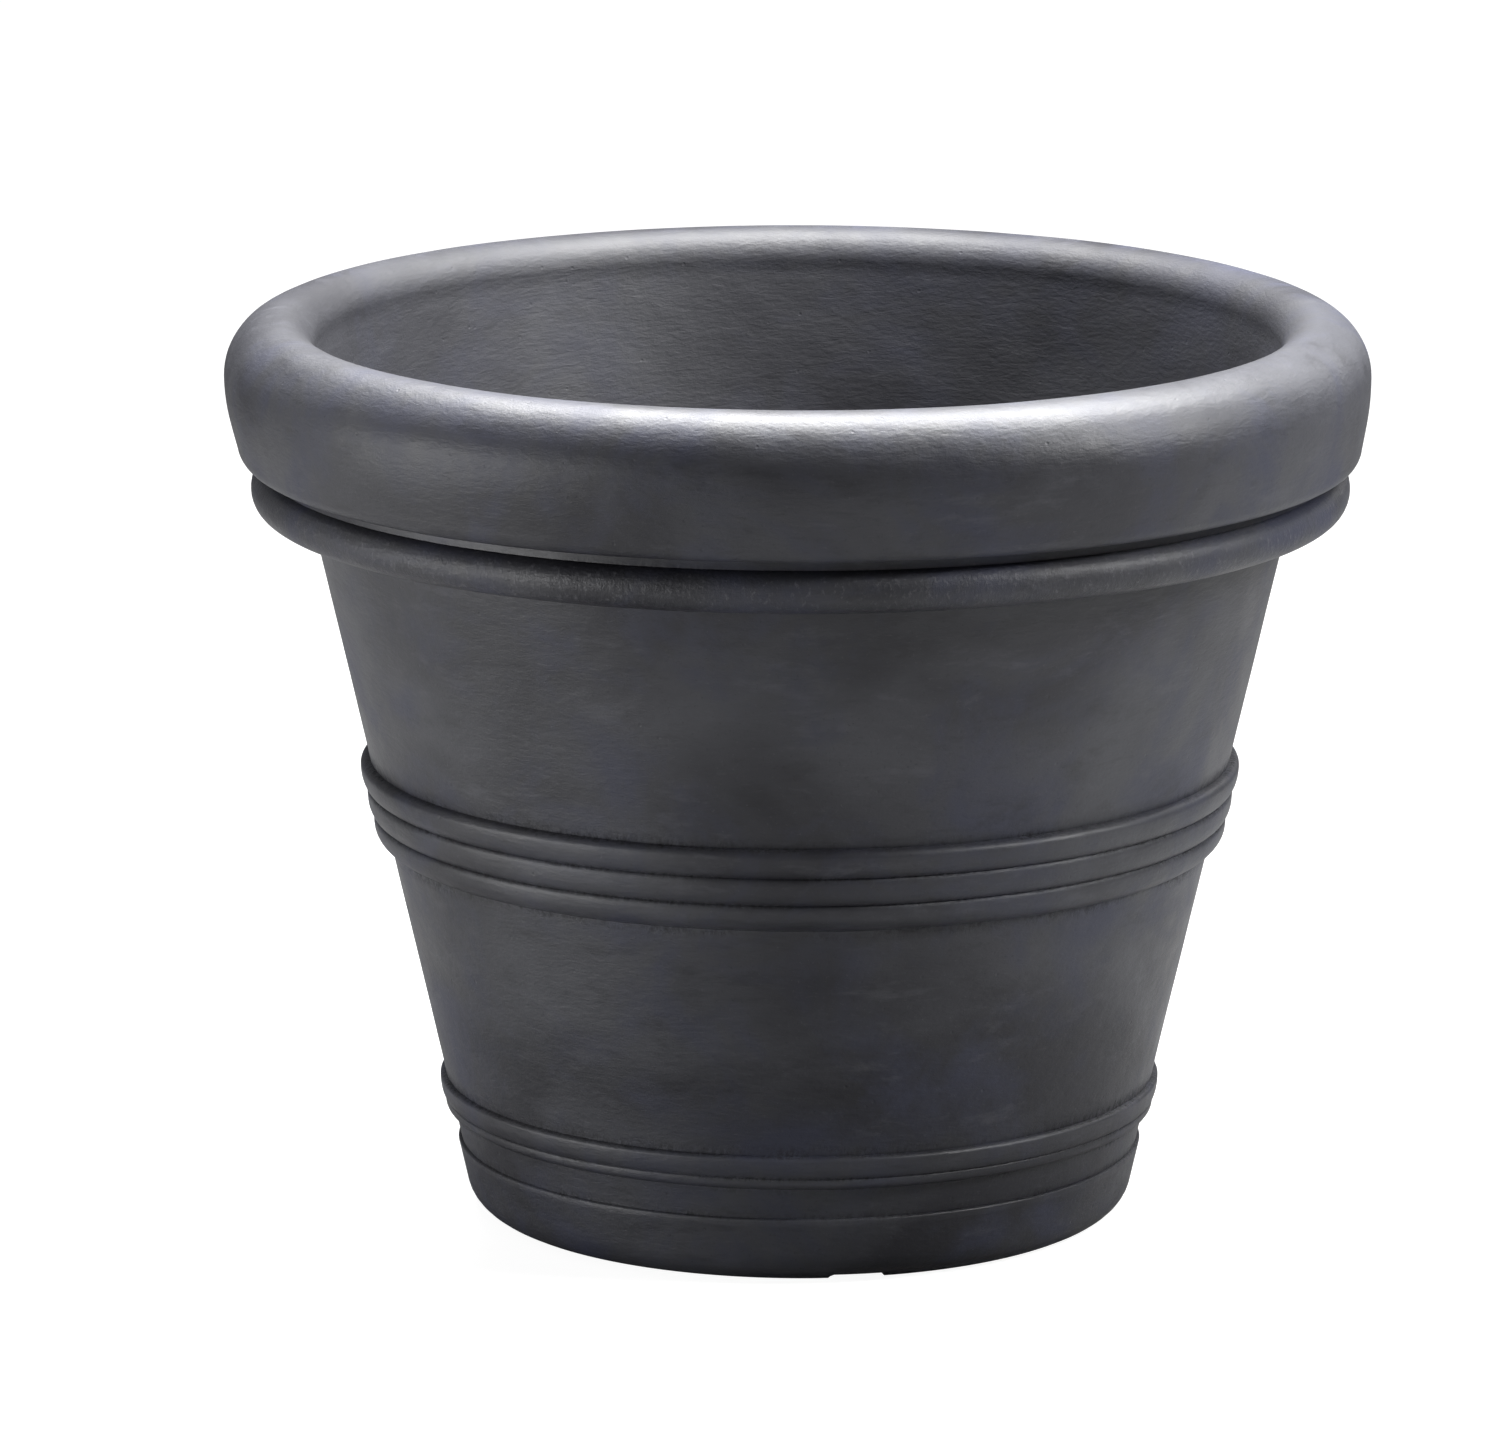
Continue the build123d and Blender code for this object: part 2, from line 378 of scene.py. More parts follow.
def collar_and_body():
    """Section from the groove below the rim down the collar, body, ribs and foot."""
    groove_top = (GROOVE_RADIUS, RIM_BOTTOM)
    groove_foot = (GROOVE_RADIUS, COLLAR_TOP)
    collar_shoulder = (COLLAR_RADIUS - COLLAR_TOP_ROUND, COLLAR_TOP)
    collar_side = (COLLAR_RADIUS, COLLAR_TOP - COLLAR_TOP_ROUND)
    collar_edge = (COLLAR_RADIUS, COLLAR_BOTTOM + COLLAR_BOTTOM_ROUND)
    collar_foot = (COLLAR_RADIUS - COLLAR_BOTTOM_ROUND, COLLAR_BOTTOM)
    body_top = (body_radius(COLLAR_BOTTOM), COLLAR_BOTTOM)
    mid_top = (body_radius(MID_RIB_TOP), MID_RIB_TOP)
    low_top = (body_radius(LOW_RIB_TOP), LOW_RIB_TOP)
    drum_top = (body_radius(DRUM_HEIGHT), DRUM_HEIGHT)
    drum_side_level = DRUM_HEIGHT - DRUM_EDGE
    drum_side = (body_radius(drum_side_level) + DRUM_PROUD, drum_side_level)
    foot_corner = (body_radius(0) + DRUM_PROUD, 0)
    foot_level = FOOT_ROUND * ROUND_REACH
    foot_up = (body_radius(foot_level) + DRUM_PROUD, foot_level)
    foot_in = (foot_corner[0] - foot_level, 0)
    ring_edge = (UNDERSIDE_RADIUS, 0)
    recess_edge = (UNDERSIDE_RADIUS, UNDERSIDE_RECESS)
    points = line(groove_top, groove_foot, GROOVE_STEP)
    points += line(groove_foot, collar_shoulder, SHORT_STEP)
    points += quarter(collar_shoulder, (COLLAR_RADIUS, COLLAR_TOP), collar_side, COLLAR_TOP_STEPS)
    points += line(collar_side, collar_edge, COLLAR_SIDE_STEP)
    points += quarter(
        collar_edge, (COLLAR_RADIUS, COLLAR_BOTTOM), collar_foot, COLLAR_BOTTOM_STEPS)
    points += line(collar_foot, body_top, OVERHANG_STEP)
    points += line(body_top, mid_top, LONG_STEP)
    points += rib_run(
        MID_RIB_TOP, MID_RIB_HEIGHTS, MID_RIB_PROUD, MID_CREASE_PROUD, MID_SHOULDER)
    points += line(points[-1], low_top, LONG_STEP)
    points += rib_run(
        LOW_RIB_TOP, LOW_RIB_HEIGHTS, LOW_RIB_PROUD, LOW_CREASE_PROUD, LOW_SHOULDER)
    points += line(points[-1], drum_top, FOOT_STEP)
    points += quarter(drum_top, (drum_side[0], DRUM_HEIGHT), drum_side, DRUM_EDGE_STEPS)
    points += line(drum_side, foot_up, FOOT_STEP)
    points += quarter(foot_up, foot_corner, foot_in, FOOT_ROUND_STEPS)
    points += line(foot_in, ring_edge, FOOT_STEP)
    points += line(ring_edge, recess_edge, GROOVE_STEP)
    points += line(recess_edge, (0, UNDERSIDE_RECESS), FLOOR_STEP)
    return points


def shell_section():
    """Half section of the shell, from the middle of its floor over the rim to the underside."""
    return inside_and_rim() + collar_and_body()


def crease_levels():
    """Levels of the inner corners: round each rib, on top of the drum and under the collar."""
    levels = []
    for top, heights in ((MID_RIB_TOP, MID_RIB_HEIGHTS), (LOW_RIB_TOP, LOW_RIB_HEIGHTS)):
        levels.append(top)
        for rib_height in heights:
            levels.append(levels[-1] - rib_height)
    return levels + [DRUM_HEIGHT, COLLAR_BOTTOM]


def crease_share(radius, level):
    """How much a point of the section lies in a crease of the outer face."""
    if radius < inner_radius(level) + WALL_DEPTH * OUTER_FACE_SHARE:
        return 0.0
    shares = (math.exp(-((level - mark) / CREASE_REACH) ** 2) for mark in crease_levels())
    return min(1.0, sum(shares))


def grit_share(radius, level):
    """How much a point of the section lies on the rough collar."""
    if radius < body_radius(level) + GRIT_MARGIN:
        return 0.0
    middle = (COLLAR_TOP + COLLAR_BOTTOM) / 2
    return max(0.0, 1 - ((level - middle) / COLLAR_HEIGHT * GRIT_SPREAD) ** GRIT_FALL)


def inside_share(radius, level):
    """How much a point of the section lies on the inner face, up to the crest, which gets painted
    shade and more roughness.
    """
    if level < FLOOR_LEVEL - INSIDE_DROP:
        return 0.0
    if level < OPENING_LEVEL and radius > inner_radius(level) + INSIDE_MARGIN:
        return 0.0
    return max(0.0, min(1.0, (CREST_RADIUS - radius) / OPENING_ROUND * INSIDE_FADE))


MARKS = {"crease": crease_share, "grit": grit_share, "inside": inside_share}


def link(tree, source, target):
    """Join two sockets of a node tree."""
    tree.links.new(source, target)


def math_node(tree, operation, first, second=None, third=None):
    """Math node with values or sockets as inputs; returns its output."""
    node = tree.nodes.new("ShaderNodeMath")
    node.operation = operation
    for index, value in enumerate((first, second, third)):
        if value is None:
            continue
        if isinstance(value, (int, float)):
            node.inputs[index].default_value = value
        else:
            link(tree, value, node.inputs[index])
    return node.outputs[0]


def split_position(tree, vector):
    """Separate X, Y and Z of a vector socket."""
    node = tree.nodes.new("ShaderNodeSeparateXYZ")
    link(tree, vector, node.inputs[0])
    return node.outputs


def spread(tree, value, low, high, to_low=0.0, to_high=1.0):
    """Map a value from one range to another, held at the ends."""
    node = tree.nodes.new("ShaderNodeMapRange")
    node.inputs["From Min"].default_value = low
    node.inputs["From Max"].default_value = high
    node.inputs["To Min"].default_value = to_low
    node.inputs["To Max"].default_value = to_high
    link(tree, value, node.inputs["Value"])
    return node.outputs[0]


def plain_object(name, mesh):
    """New object with a mesh, in the scene, at the origin."""
    made = bpy.data.objects.new(name, mesh)
    bpy.context.scene.collection.objects.link(made)
    return made


def input_id(tree, name):
    """Identifier of a tree's named input socket."""
    for item in tree.interface.items_tree:
        if item.item_type == "SOCKET" and item.in_out == "INPUT" and item.name == name:
            return item.identifier
    raise KeyError(name)


def shell_inputs(tree):
    """Named inputs and the output of the turned shell's tree."""
    face = tree.interface
    face.new_socket("Section", in_out="INPUT", socket_type="NodeSocketGeometry")
    for name, kind, value in (
        ("Steps Round", "NodeSocketInt", STEPS_ROUND),
        ("Steps Along", "NodeSocketInt", 2),
        ("Drawn In", "NodeSocketFloat", DRAWN_IN),
        ("Waviness", "NodeSocketFloat", WAVINESS),
        ("Channel Depth", "NodeSocketFloat", UNDERSIDE_RECESS),
    ):
        socket = face.new_socket(name, in_out="INPUT", socket_type=kind)
        socket.default_value = value
    face.new_socket("Material", in_out="INPUT", socket_type="NodeSocketMaterial")
    face.new_socket("Shell", in_out="OUTPUT", socket_type="NodeSocketGeometry")


def sampled_section(tree, section, value, kind, along_index):
    """Value of the section's points, picked by their place along it."""
    pick = tree.nodes.new("GeometryNodeSampleIndex")
    pick.data_type = kind
    link(tree, section, pick.inputs["Geometry"])
    link(tree, value, pick.inputs["Value"])
    link(tree, along_index, pick.inputs["Index"])
    return pick.outputs[0]


def turned_shell_tree():
    """Geometry Nodes tree that turns a section round the axis, uneven as a moulding is."""
    tree = bpy.data.node_groups.new("TurnedShell", "GeometryNodeTree")
    shell_inputs(tree)
    nodes = tree.nodes
    given = nodes.new("NodeGroupInput")
    grid = nodes.new("GeometryNodeMeshGrid")
    grid.inputs["Size X"].default_value = 1.0
    grid.inputs["Size Y"].default_value = 1.0
    columns = math_node(tree, "ADD", given.outputs["Steps Round"], 1)
    link(tree, columns, grid.inputs["Vertices X"])
    link(tree, given.outputs["Steps Along"], grid.inputs["Vertices Y"])
    place = nodes.new("GeometryNodeInputPosition").outputs[0]
    on_grid = split_position(tree, place)
    round_share = math_node(tree, "ADD", on_grid["X"], 0.5)
    along_share = math_node(tree, "ADD", on_grid["Y"], 0.5)
    last = math_node(tree, "SUBTRACT", given.outputs["Steps Along"], 1)
    along_index = math_node(tree, "ROUND", math_node(tree, "MULTIPLY", along_share, last))
    section = given.outputs["Section"]
    point = sampled_section(tree, section, place, "FLOAT_VECTOR", along_index)

    # The section's marks go along with its points
    marked = grid.outputs["Mesh"]
    for name in MARKS:
        read = nodes.new("GeometryNodeInputNamedAttribute")
        read.data_type = "FLOAT"
        read.inputs["Name"].default_value = name
        value = sampled_section(tree, section, read.outputs["Attribute"], "FLOAT", along_index)
        store = nodes.new("GeometryNodeStoreNamedAttribute")
        store.data_type = "FLOAT"
        store.inputs["Name"].default_value = name
        link(tree, marked, store.inputs["Geometry"])
        link(tree, value, store.inputs["Value"])
        marked = store.outputs["Geometry"]
    on_section = split_position(tree, point)
    radius, level = on_section["X"], on_section["Z"]
    angle = math_node(tree, "MULTIPLY", round_share, 2 * math.pi)
    cosine = math_node(tree, "COSINE", angle)
    sine = math_node(tree, "SINE", angle)

    # The rim's right side is drawn in a little
    high = nodes.new("ShaderNodeMapRange")
    high.interpolation_type = "SMOOTHSTEP"
    high.inputs["From Min"].default_value = RIM_BOTTOM - DRAWN_IN_BELOW_RIM
    high.inputs["From Max"].default_value = RIM_WIDEST
    link(tree, level, high.inputs["Value"])
    to_right = math_node(tree, "POWER", math_node(tree, "MAXIMUM", cosine, 0.0), 2.0)
    drawn = math_node(tree, "MULTIPLY", to_right, high.outputs[0])
    drawn = math_node(tree, "MULTIPLY", drawn, given.outputs["Drawn In"])
    radius_now = math_node(tree, "SUBTRACT", radius, drawn)

    # Drain channels lift the foot ring where they cross it
    turn = math_node(tree, "SUBTRACT", angle, FRONT_CHANNEL_ANGLE)
    pitch = 2 * math.pi / CHANNEL_COUNT
    nearest = math_node(tree, "WRAP", turn, pitch / 2, -pitch / 2)
    across = math_node(tree, "ABSOLUTE", math_node(tree, "MULTIPLY", nearest, radius))
    half_width = CHANNEL_WIDTH / 2
    channel = spread(tree, across, half_width + CHANNEL_EDGE, half_width - CHANNEL_EDGE)
    raised = math_node(tree, "MULTIPLY", channel, given.outputs["Channel Depth"])
    level_now = math_node(tree, "MAXIMUM", level, raised)

    # The grid is bent into the shell, its seam closed and its faces turned outwards
    combine = nodes.new("ShaderNodeCombineXYZ")
    link(tree, math_node(tree, "MULTIPLY", radius_now, cosine), combine.inputs["X"])
    link(tree, math_node(tree, "MULTIPLY", radius_now, sine), combine.inputs["Y"])
    link(tree, level_now, combine.inputs["Z"])
    bend = nodes.new("GeometryNodeSetPosition")
    link(tree, marked, bend.inputs["Geometry"])
    link(tree, combine.outputs[0], bend.inputs["Position"])
    outward = nodes.new("GeometryNodeFlipFaces")
    link(tree, bend.outputs[0], outward.inputs["Mesh"])
    merge = nodes.new("GeometryNodeMergeByDistance")
    merge.inputs["Distance"].default_value = MERGE_DISTANCE
    link(tree, outward.outputs[0], merge.inputs["Geometry"])

    # Slow waviness of the moulding, everywhere but on the foot, pushed inwards only
    noise = nodes.new("ShaderNodeTexNoise")
    noise.inputs["Scale"].default_value = WAVE_SCALE
    noise.inputs["Detail"].default_value = WAVE_DETAIL
    noise.inputs["Roughness"].default_value = WAVE_ROUGHNESS
    link(tree, place, noise.inputs["Vector"])
    inward = math_node(tree, "SUBTRACT", noise.outputs[0], WAVE_TOP)
    on_shell = split_position(tree, place)
    off_foot = spread(tree, on_shell["Z"], FOOT_ROUND * STILL_FOOT_SHARE, DRUM_HEIGHT)
    depth = math_node(tree, "MINIMUM", inward, 0.0)
    depth = math_node(tree, "MULTIPLY", depth, given.outputs["Waviness"])
    depth = math_node(tree, "MULTIPLY", depth, off_foot)
    push = nodes.new("ShaderNodeVectorMath")
    push.operation = "SCALE"
    link(tree, nodes.new("GeometryNodeInputNormal").outputs[0], push.inputs[0])
    link(tree, depth, push.inputs["Scale"])
    waves = nodes.new("GeometryNodeSetPosition")
    link(tree, merge.outputs[0], waves.inputs["Geometry"])
    link(tree, push.outputs[0], waves.inputs["Offset"])

    real = nodes.new("GeometryNodeRealizeInstances")
    link(tree, waves.outputs[0], real.inputs[0])
    paint = nodes.new("GeometryNodeSetMaterial")
    link(tree, real.outputs[0], paint.inputs["Geometry"])
    link(tree, given.outputs["Material"], paint.inputs["Material"])
    result = nodes.new("NodeGroupOutput")
    link(tree, paint.outputs[0], result.inputs["Shell"])
    return tree


def section_mesh():
    """The shell's half section as a chain of edges with its marks, and its number of points."""
    section = shell_section()
    mesh = bpy.data.meshes.new("shell_section")
    points = [(radius, 0.0, level) for radius, level in section]
    mesh.from_pydata(points, [(i, i + 1) for i in range(len(points) - 1)], [])
    for name, share in MARKS.items():
        mark = mesh.attributes.new(name, "FLOAT", "POINT")
        for index, (radius, level) in enumerate(section):
            mark.data[index].value = share(radius, level)
    return mesh, len(points)


def evaluated_mesh(source, name):
    """Plain mesh of an object as its modifiers leave it."""
    bpy.context.view_layer.update()
    graph = bpy.context.evaluated_depsgraph_get()
    mesh = bpy.data.meshes.new_from_object(source.evaluated_get(graph))
    mesh.name = name
    return mesh


def cylinder(name, centre, radius, low, high):
    """Closed round cutter."""
    mesh = bpy.data.meshes.new(name)
    made = bmesh.new()
    bmesh.ops.create_cone(
        made, cap_ends=True, segments=CUTTER_SEGMENTS,
        radius1=radius, radius2=radius, depth=high - low,
        matrix=Matrix.Translation((centre[0], centre[1], (low + high) / 2)),
    )
    made.to_mesh(mesh)
    made.free()
    return plain_object(name, mesh)


def drain_centres():
    """Centres of the drain holes."""
    pitch = 2 * math.pi / CHANNEL_COUNT
    angles = [FRONT_CHANNEL_ANGLE + pitch * index for index in range(CHANNEL_COUNT)]
    return [
        (DRAIN_CIRCLE_RADIUS * math.cos(angle), DRAIN_CIRCLE_RADIUS * math.sin(angle))
        for angle in angles
    ]


def turned_shell(material):
    """The shell as a plain closed mesh, turned from its section."""
    section, count = section_mesh()
    raw = plain_object("shell_raw", section)
    tree = turned_shell_tree()
    modifier = raw.modifiers.new("turn", "NODES")
    modifier.node_group = tree
    for name, value in (
        ("Steps Round", STEPS_ROUND),
        ("Steps Along", count),
        ("Drawn In", DRAWN_IN),
        ("Waviness", WAVINESS),
        ("Channel Depth", UNDERSIDE_RECESS),
        ("Material", material),
    ):
        modifier[input_id(tree, name)] = value
    shell = plain_object("planter_shell", evaluated_mesh(raw, "planter_shell"))
    bpy.data.objects.remove(raw)
    welded = bmesh.new()
    welded.from_mesh(shell.data)
    bmesh.ops.remove_doubles(welded, verts=welded.verts, dist=WELD_DISTANCE)
    bmesh.ops.recalc_face_normals(welded, faces=welded.faces)
    welded.to_mesh(shell.data)
    welded.free()
    return shell


def hole_cutters():
    """Cutters of the drain holes with their seats, and of the vent."""
    cutters = []
    above_floor = FLOOR_LEVEL + CUT_MARGIN
    seat_floor = FLOOR_LEVEL - DRAIN_SEAT_DEPTH
    for index, centre in enumerate(drain_centres()):
        cutters.append(cylinder(
            f"bore_{index}", centre, DRAIN_BORE_RADIUS, -CUT_MARGIN, above_floor))
        cutters.append(cylinder(
            f"seat_{index}", centre, DRAIN_SEAT_RADIUS, seat_floor, above_floor))
    vent_top = UNDERSIDE_RECESS + VENT_CUT_DEPTH
    cutters.append(cylinder("vent", (0, 0), VENT_RADIUS, -CUT_MARGIN, vent_top))
    return cutters


def build_shell(material):
    """The planter's shell with its drain holes and vent cut."""
    shell = turned_shell(material)
    cutters = hole_cutters()
    for index, cutter in enumerate(cutters):
        cut = shell.modifiers.new(f"cut_{index}", "BOOLEAN")
        cut.operation = "DIFFERENCE"
        cut.solver = "EXACT"
        cut.object = cutter
    mesh = evaluated_mesh(shell, "planter_shell")
    shell.modifiers.clear()
    shell.data = mesh
    for cutter in cutters:
        bpy.data.objects.remove(cutter)
    mesh.materials.clear()
    mesh.materials.append(material)
    for polygon in mesh.polygons:
        polygon.use_smooth = True
    mesh.set_sharp_from_angle(angle=SHARP_ANGLE)
    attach(shell, "shell")
    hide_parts("pot_shell")


def moulded_surface_group():
    """Shared effect: cloudy patches, brushed streaks, speckle, wrinkles and pits of plastic."""
    group = bpy.data.node_groups.new("MouldedSurface", "ShaderNodeTree")
    face = group.interface
    for name, value in (("Cloud Scale", 7.0), ("Grain Scale", 620.0), ("Wrinkle Scale", 150.0)):
        socket = face.new_socket(name, in_out="INPUT", socket_type="NodeSocketFloat")
        socket.default_value = value
    for name in ("Clouds", "Patches", "Streaks", "Speckle", "Height", "Grit", "Scuffs"):
        face.new_socket(name, in_out="OUTPUT", socket_type="NodeSocketFloat")
    nodes = group.nodes
    given = nodes.new("NodeGroupInput")
    result = nodes.new("NodeGroupOutput")
    coords = nodes.new("ShaderNodeTexCoord").outputs["Object"]

    def stretched(scale):
        mapping = nodes.new("ShaderNodeMapping")
        mapping.inputs["Scale"].default_value = scale
        link(group, coords, mapping.inputs["Vector"])
        return mapping.outputs[0]

    def noise(vector, scale, detail, roughness, seed, distortion=0.0):
        node = nodes.new("ShaderNodeTexNoise")
        node.noise_dimensions = "4D"
        node.inputs["W"].default_value = seed
        node.inputs["Detail"].default_value = detail
        node.inputs["Roughness"].default_value = roughness
        node.inputs["Distortion"].default_value = distortion
        if isinstance(scale, float):
            node.inputs["Scale"].default_value = scale
        else:
            link(group, scale, node.inputs["Scale"])
        link(group, vector, node.inputs["Vector"])
        return node.outputs["Fac"]

    level_wise = stretched((1.0, 1.0, 3.2))
    clouds = noise(
        stretched((1.0, 1.0, 1.6)), given.outputs["Cloud Scale"],
        detail=4.0, roughness=0.55, seed=0.4, distortion=0.6)
    patches = noise(coords, 17.0, detail=5.0, roughness=0.62, seed=3.7, distortion=0.8)
    streaks = noise(level_wise, 26.0, detail=6.0, roughness=0.68, seed=6.1, distortion=0.3)
    grain = noise(coords, given.outputs["Grain Scale"], detail=3.0, roughness=0.65, seed=1.3)
    wrinkles = noise(
        level_wise, given.outputs["Wrinkle Scale"],
        detail=5.0, roughness=0.62, seed=8.1, distortion=0.4)
    soft = noise(coords, 48.0, detail=3.0, roughness=0.5, seed=5.5)
    pits = nodes.new("ShaderNodeTexVoronoi")
    pits.inputs["Scale"].default_value = 95.0
    link(group, coords, pits.inputs["Vector"])
    pit = spread(group, pits.outputs["Distance"], 0.02, 0.09, to_low=-1.0, to_high=0.0)
    height = math_node(group, "MULTIPLY", wrinkles, WRINKLE_RELIEF)
    height = math_node(group, "MULTIPLY_ADD", grain, GRAIN_RELIEF, height)
    height = math_node(group, "MULTIPLY_ADD", soft, SOFT_RELIEF, height)
    height = math_node(group, "MULTIPLY_ADD", pit, PIT_RELIEF, height)
    grit = noise(stretched((1.0, 1.0, 0.6)), 430.0, detail=4.0, roughness=0.75, seed=9.3)
    scratches = noise(stretched((1.0, 1.0, 4.5)), 95.0, detail=6.0, roughness=0.72, seed=12.0)
    scuffs = spread(group, scratches, 0.62, 0.76)
    for name, value in (
        ("Clouds", clouds),
        ("Patches", patches),
        ("Streaks", streaks),
        ("Speckle", grain),
        ("Height", height),
        ("Grit", grit),
        ("Scuffs", scuffs),
    ):
        link(group, value, result.inputs[name])
    return group


def mixed_colour(tree, factor, first, second):
    """Colour between two, each a tuple or a socket, by a factor socket."""
    node = tree.nodes.new("ShaderNodeMix")
    node.data_type = "RGBA"
    link(tree, factor, node.inputs["Factor"])
    for value, name in ((first, "A"), (second, "B")):
        socket = [s for s in node.inputs if s.name == name and s.type == "RGBA"][0]
        if isinstance(value, tuple):
            socket.default_value = (*value, 1.0)
        else:
            link(tree, value, socket)
    return [s for s in node.outputs if s.type == "RGBA"][0]


def new_material(name):
    """Empty material with its tree and Principled shader."""
    material = bpy.data.materials.new(name)
    material.use_nodes = True
    return material, material.node_tree, material.node_tree.nodes["Principled BSDF"]


def place_surface(tree, surface):
    """The shared surface effect, placed in a material's tree."""
    group = tree.nodes.new("ShaderNodeGroup")
    group.node_tree = surface
    return group


def raise_relief(tree, shader, height, strength, distance):
    """Bump that feeds the shader's normal."""
    bump = tree.nodes.new("ShaderNodeBump")
    bump.inputs["Strength"].default_value = strength
    bump.inputs["Distance"].default_value = distance
    link(tree, height, bump.inputs["Height"])
    link(tree, bump.outputs[0], shader.inputs["Normal"])


def mark_value(tree, name):
    """Value of one of the section's marks."""
    node = tree.nodes.new("ShaderNodeAttribute")
    node.attribute_name = name
    return node.outputs["Fac"]


def charcoal_plastic(surface):
    """Matt charcoal polyethylene: blue-grey clouds, streaks, a rough collar, and painted shade in
    the creases and on the inner face.
    """
    material, tree, shader = new_material("charcoal_polyethylene")
    out = place_surface(tree, surface).outputs
    clouds = spread(tree, out["Clouds"], *CLOUD_RANGE)
    colour = mixed_colour(tree, clouds, SHELL_DEEP, SHELL_PALE)
    for effect, low, high, share_low, share_high, coat in SHELL_COATS:
        share = spread(tree, out[effect], low, high, share_low, share_high)
        colour = mixed_colour(tree, share, colour, coat)
    grit = mark_value(tree, "grit")
    gritty = math_node(tree, "MULTIPLY", grit, spread(tree, out["Grit"], *GRIT_COAT))
    colour = mixed_colour(tree, gritty, colour, SHELL_SCUFF)
    ragged = math_node(
        tree, "MULTIPLY",
        spread(tree, out["Grit"], *CREASE_GRIT_RANGE),
        spread(tree, out["Streaks"], *CREASE_STREAK_RANGE),
    )
    # Painted shade in the creases round the ribs, on the drum and under the collar, ragged along
    # them
    crease = math_node(tree, "MULTIPLY", mark_value(tree, "crease"), ragged)
    crease_shade_coat = math_node(tree, "MULTIPLY", crease, CREASE_SHADE_SHARE)
    colour = mixed_colour(tree, crease_shade_coat, colour, SHELL_CREASE_SHADE)
    # Painted shade darkens the inner face
    inside = mark_value(tree, "inside")
    inside_shade_coat = math_node(tree, "MULTIPLY", inside, INSIDE_SHADE_SHARE)
    colour = mixed_colour(tree, inside_shade_coat, colour, SHELL_DARK)
    link(tree, colour, shader.inputs["Base Color"])
    rough = spread(tree, out["Patches"], *SHELL_ROUGHNESS)
    rough = math_node(tree, "MULTIPLY_ADD", out["Streaks"], STREAK_ROUGHNESS, rough)
    rough = math_node(tree, "MULTIPLY_ADD", crease, CREASE_ROUGHNESS, rough)
    rough = math_node(tree, "MULTIPLY_ADD", inside, INSIDE_ROUGHNESS, rough)
    link(tree, rough, shader.inputs["Roughness"])
    extra = math_node(tree, "MULTIPLY", grit, out["Grit"])
    height = math_node(tree, "MULTIPLY_ADD", extra, GRIT_RELIEF, out["Height"])
    height = math_node(tree, "MULTIPLY_ADD", crease, CREASE_RELIEF, height)
    raise_relief(tree, shader, height, *SHELL_BUMP)
    shader.inputs["Specular IOR Level"].default_value = SHELL_SPECULAR
    return material


def dark_rubber(surface, name, tint, roughness):
    """Dull black rubber or plain plastic with fine grain and dusty patches."""
    material, tree, shader = new_material(name)
    group = place_surface(tree, surface)
    group.inputs["Cloud Scale"].default_value = DUST_SCALE
    group.inputs["Grain Scale"].default_value = SMALL_GRAIN_SCALE
    dusty = tuple(value + DUST for value in tint)
    colour = mixed_colour(
        tree, spread(tree, group.outputs["Clouds"], *DUST_RANGE), tint, dusty)
    link(tree, colour, shader.inputs["Base Color"])
    smoother, rougher = roughness - ROUGHNESS_SWING, roughness + ROUGHNESS_SWING
    rough = spread(tree, group.outputs["Patches"], *ROUGHNESS_RANGE, smoother, rougher)
    link(tree, rough, shader.inputs["Roughness"])
    raise_relief(tree, shader, group.outputs["Height"], *SMALL_BUMP)
    shader.inputs["Specular IOR Level"].default_value = SMALL_SPECULAR
    return material


def dress_cad_nodes(rubber, cap_plastic):
    """Give the solids that stay their finishes."""
    for index in range(CHANNEL_COUNT):
        plug = bpy.data.objects[f"drain_plug_{index + 1}"]
        for slot in plug.material_slots:
            slot.material = rubber
    for slot in bpy.data.objects["vent_cap"].material_slots:
        slot.material = cap_plastic


def place_camera():
    """Camera where the photograph was taken from."""
    pitch, yaw, roll = (math.radians(a) for a in (CAMERA_PITCH, CAMERA_YAW, CAMERA_ROLL))
    ahead = Vector((
        math.sin(yaw) * math.cos(pitch), math.cos(yaw) * math.cos(pitch), -math.sin(pitch)))
    level = Vector((math.cos(yaw), -math.sin(yaw), 0))
    upright = level.cross(ahead)
    right = level * math.cos(roll) + upright * math.sin(roll)
    up = -level * math.sin(roll) + upright * math.cos(roll)
    data = bpy.data.cameras.new("photo_camera")
    data.sensor_fit = "HORIZONTAL"
    data.sensor_width = SENSOR_WIDTH
    data.lens = FOCAL_PIXELS / IMAGE_WIDTH * SENSOR_WIDTH
    data.clip_end = CAMERA_REACH
    camera = bpy.data.objects.new("photo_camera", data)
    turn = Matrix((right, up, -ahead)).transposed().to_4x4()
    camera.matrix_world = Matrix.Translation((0, -CAMERA_DISTANCE, CAMERA_HEIGHT)) @ turn
    bpy.context.scene.collection.objects.link(camera)
    bpy.context.scene.camera = camera


def area_light(name, place, target, size, power):
    """Soft rectangular lamp aimed at a point."""
    data = bpy.data.lights.new(name, "AREA")
    data.shape = "RECTANGLE"
    data.size, data.size_y = size
    data.energy = power
    lamp = bpy.data.objects.new(name, data)
    lamp.location = place
    aim = Vector(target) - Vector(place)
    lamp.rotation_euler = aim.to_track_quat("-Z", "Y").to_euler()
    bpy.context.scene.collection.objects.link(lamp)


def seen_directly(tree):
    """1 where the camera sees a surface or the world itself, or through glass."""
    path = tree.nodes.new("ShaderNodeLightPath")
    return math_node(
        tree, "MAXIMUM", path.outputs["Is Camera Ray"], path.outputs["Is Transmission Ray"])


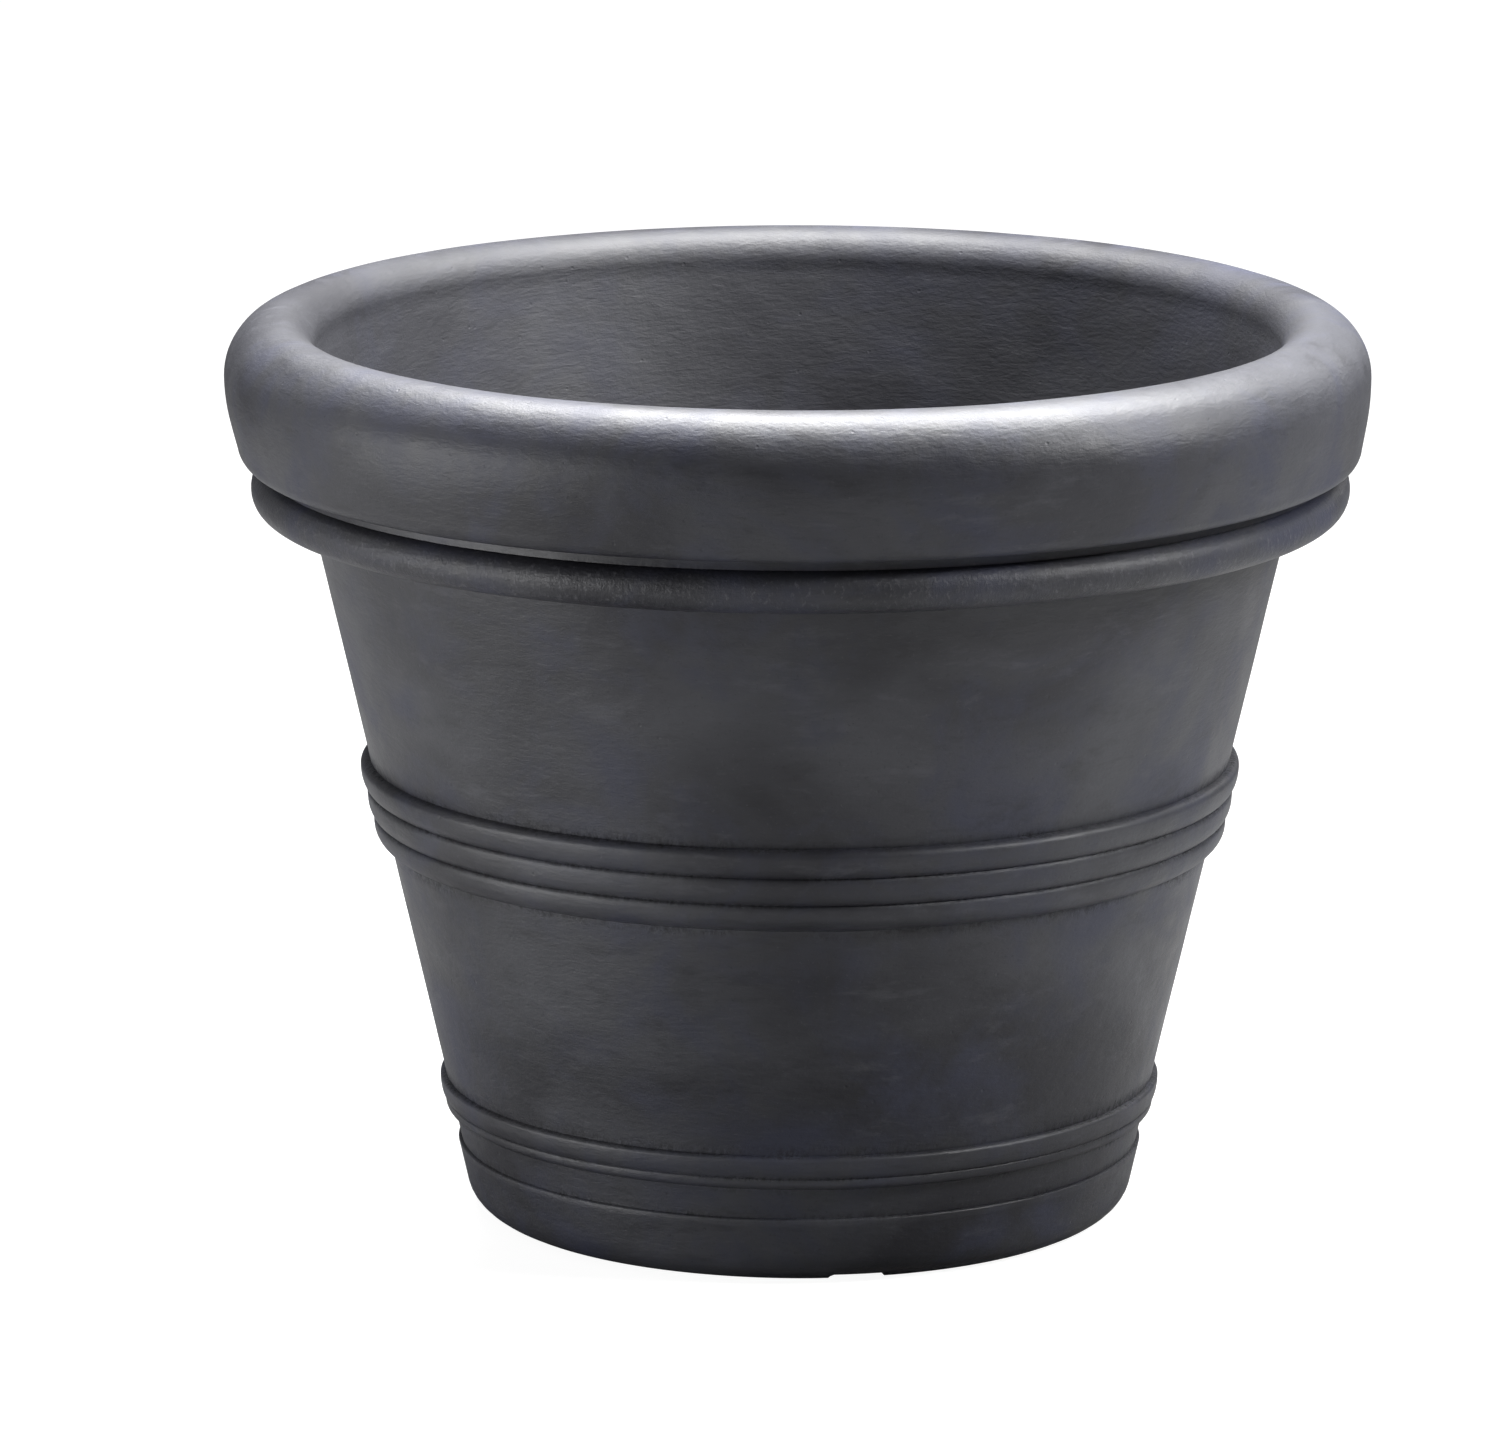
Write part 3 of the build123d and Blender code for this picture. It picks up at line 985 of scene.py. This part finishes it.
def light_studio():
    """Broad softbox overhead, a small lamp from the right, fill from the left and behind."""
    for lamp in LAMPS:
        area_light(*lamp)
    world = bpy.data.worlds.new("studio")
    bpy.context.scene.world = world
    world.use_nodes = True
    tree = world.node_tree
    back = tree.nodes["Background"]
    back.inputs["Color"].default_value = (1, 1, 1, 1)
    strength = math_node(tree, "MULTIPLY_ADD", seen_directly(tree), 1 - AMBIENT, AMBIENT)
    link(tree, strength, back.inputs["Strength"])


def white_floor():
    """Floor that looks white to the camera and keeps a faint shadow of the planter."""
    mesh = bpy.data.meshes.new("studio_floor")
    signs = ((-1, -1), (1, -1), (1, 1), (-1, 1))
    corners = [(FLOOR_HALF * x, FLOOR_HALF * y, 0) for x, y in signs]
    mesh.from_pydata(corners, [], [(0, 1, 2, 3)])
    floor = plain_object("studio_floor", mesh)
    material, tree, shader = new_material("pale_floor")
    shader.inputs["Base Color"].default_value = (*FLOOR_COLOUR, 1)
    shader.inputs["Roughness"].default_value = FLOOR_ROUGHNESS
    glow = tree.nodes.new("ShaderNodeEmission")
    away = tree.nodes.new("ShaderNodeVectorMath")
    away.operation = "LENGTH"
    link(tree, tree.nodes.new("ShaderNodeTexCoord").outputs["Object"], away.inputs[0])
    level = spread(tree, away.outputs["Value"], *GLOW_RANGE, FLOOR_GLOW, 1.0)
    strength = math_node(tree, "MULTIPLY", seen_directly(tree), level)
    link(tree, strength, glow.inputs["Strength"])
    add = tree.nodes.new("ShaderNodeAddShader")
    link(tree, shader.outputs[0], add.inputs[0])
    link(tree, glow.outputs[0], add.inputs[1])
    link(tree, add.outputs[0], tree.nodes["Material Output"].inputs["Surface"])
    mesh.materials.append(material)
    floor.location = (0, 0, -FLOOR_DROP)


def main():
    """Build everything."""
    bpy.context.scene.view_settings.view_transform = "Standard"
    place_camera()
    surface = moulded_surface_group()
    build_shell(charcoal_plastic(surface))
    rubber = dark_rubber(surface, "black_rubber", RUBBER_COLOUR, RUBBER_ROUGHNESS)
    cap_plastic = dark_rubber(surface, "cap_polyethylene", CAP_COLOUR, CAP_ROUGHNESS)
    dress_cad_nodes(rubber, cap_plastic)
    light_studio()
    white_floor()


main()
